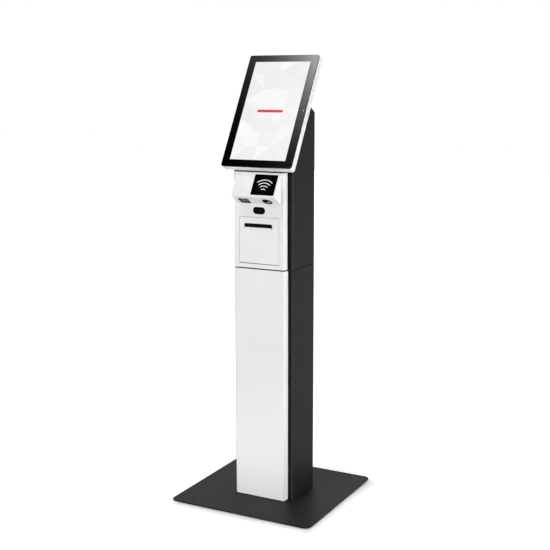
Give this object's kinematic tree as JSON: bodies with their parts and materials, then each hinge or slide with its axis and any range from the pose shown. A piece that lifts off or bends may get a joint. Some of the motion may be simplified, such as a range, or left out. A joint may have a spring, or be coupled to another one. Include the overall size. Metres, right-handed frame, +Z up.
{
  "type": "interactive kiosk",
  "caption": "Free-standing interactive kiosk with a wide base plate, slim sheet-metal column, tilted touch display, wedge-shaped reader and scanner module, and a receipt printer behind a door.",
  "frame": {"origin": "on the floor under the middle of the base plate", "axes": "+Z up, -Y towards the user in front of the screen, +X to that user's right"},
  "size_m": [0.496, 0.48, 1.4191],
  "materials": {
    "white_coat": "satin white powder coat",
    "white_plastic": "satin white moulded plastic",
    "black_coat": "fine-textured black powder coat",
    "cover_glass": "edge-to-edge cover glass with a black printed border",
    "black_gloss": "glossy black plastic",
    "smoked_glass": "smoked scanner glass",
    "black_plastic": "matt black moulded plastic",
    "grey_plastic": "grey acetal",
    "rubber": "black rubber",
    "steel": "zinc-plated steel",
    "aluminium": "bare aluminium",
    "circuit_board": "green circuit board",
    "paper": "white thermal paper, wound tight",
    "cardboard": "cardboard tube"
  },
  "bodies": {
    "root": {"lower_front_panel": "white_coat", "upper_fascia": "white_coat", "reader_housing": "white_plastic", "head_frame": "white_plastic", "head_back_cover": "white_plastic", "base_plate": "black_coat", "lower_column": "black_coat", "upper_deck": "black_coat", "upper_body": "black_coat", "neck_plate": "black_coat", "service_frame": "black_coat", "touch_glass": "cover_glass", "nfc_window": "black_gloss", "scanner_bezel": "black_gloss", "button_bezel": "black_gloss", "sensor_window": "black_gloss", "scanner_glass": "smoked_glass", "power_inlet": "black_plastic", "switch_body": "black_plastic", "button_switch": "black_plastic", "sensor_holder": "black_plastic", "paper_bucket": "black_plastic", "scanner_engine": "black_plastic", "door_magnet": "black_plastic", "display_panel": "black_plastic", "platen_bushes": "grey_plastic", "base_pads": "rubber", "seam_gasket": "rubber", "column_bolts": "steel", "panel_screws": "steel", "head_bolts": "steel", "door_hinge": "steel", "printer_frame": "steel", "idler_pin": "steel", "feed_motor": "steel", "head_carrier": "steel", "tear_bar": "steel", "rear_hinges": "steel", "power_supply": "aluminium", "print_head": "aluminium", "nfc_board": "circuit_board", "sensor_camera": "circuit_board", "main_board": "circuit_board"},
    "printer_door": {"printer_door": "white_coat", "paper_lip": "white_plastic"},
    "rear_door": {"rear_door": "black_coat", "rear_door_leaves": "steel", "lock_barrel": "steel"},
    "lock": {"lock_plug": "steel", "lock_cam": "steel"},
    "rocker": {"switch_rocker": "black_plastic"},
    "button": {"button_cap": "black_gloss"},
    "paper_roll": {"paper_roll": "paper", "roll_core": "cardboard"},
    "platen": {"platen_roller": "rubber", "platen_shaft": "steel", "platen_gear": "grey_plastic"},
    "idler": {"idler_gear": "grey_plastic"},
    "pinion": {"motor_pinion": "steel"}
  },
  "joints": [
    {"name": "printer_door_hinge", "type": "hinge", "parent": "root", "child": "printer_door", "pos_m": [0, -0.086, 0.779], "axis": [1, 0, 0], "range_deg": [0, 80]},
    {"name": "rear_door_hinge", "type": "hinge", "parent": "root", "child": "rear_door", "pos_m": [-0.08, 0.094, 0.98765], "axis": [0, 0, 1], "range_deg": [0, 110]},
    {"name": "lock_turn", "type": "hinge", "parent": "rear_door", "child": "lock", "pos_m": [0.06, 0.0716, 0.98765], "axis": [0, -1, 0], "range_deg": [0, 90]},
    {"name": "rocker_tilt", "type": "hinge", "parent": "root", "child": "rocker", "pos_m": [0.026, 0.089, 0.071], "axis": [-1, 0, 0], "range_deg": [0, 16]},
    {"name": "button_press", "type": "slide", "parent": "root", "child": "button", "axis": [0, 0.5, 0.866], "range_m": [0, 0.0025], "stiffness_N_per_m": 900, "springref_m": -0.001},
    {"name": "paper_roll_spin", "type": "hinge", "parent": "root", "child": "paper_roll", "pos_m": [0, 0, 0.8299], "axis": [1, 0, 0], "continuous": true},
    {"name": "platen_spin", "type": "hinge", "parent": "root", "child": "platen", "pos_m": [0, -0.049, 0.889], "axis": [1, 0, 0], "continuous": true},
    {"name": "idler_spin", "type": "hinge", "parent": "root", "child": "idler", "pos_m": [0, -0.02906, 0.8797], "axis": [1, 0, 0], "continuous": true},
    {"name": "pinion_spin", "type": "hinge", "parent": "root", "child": "pinion", "pos_m": [0, -0.01167, 0.88436], "axis": [1, 0, 0], "continuous": true}
  ],
  "couplings": [
    {"joint": "platen_spin", "follows": "paper_roll_spin", "ratio": 4.875},
    {"joint": "idler_spin", "follows": "paper_roll_spin", "ratio": -4.0625},
    {"joint": "pinion_spin", "follows": "paper_roll_spin", "ratio": 8.125}
  ]
}
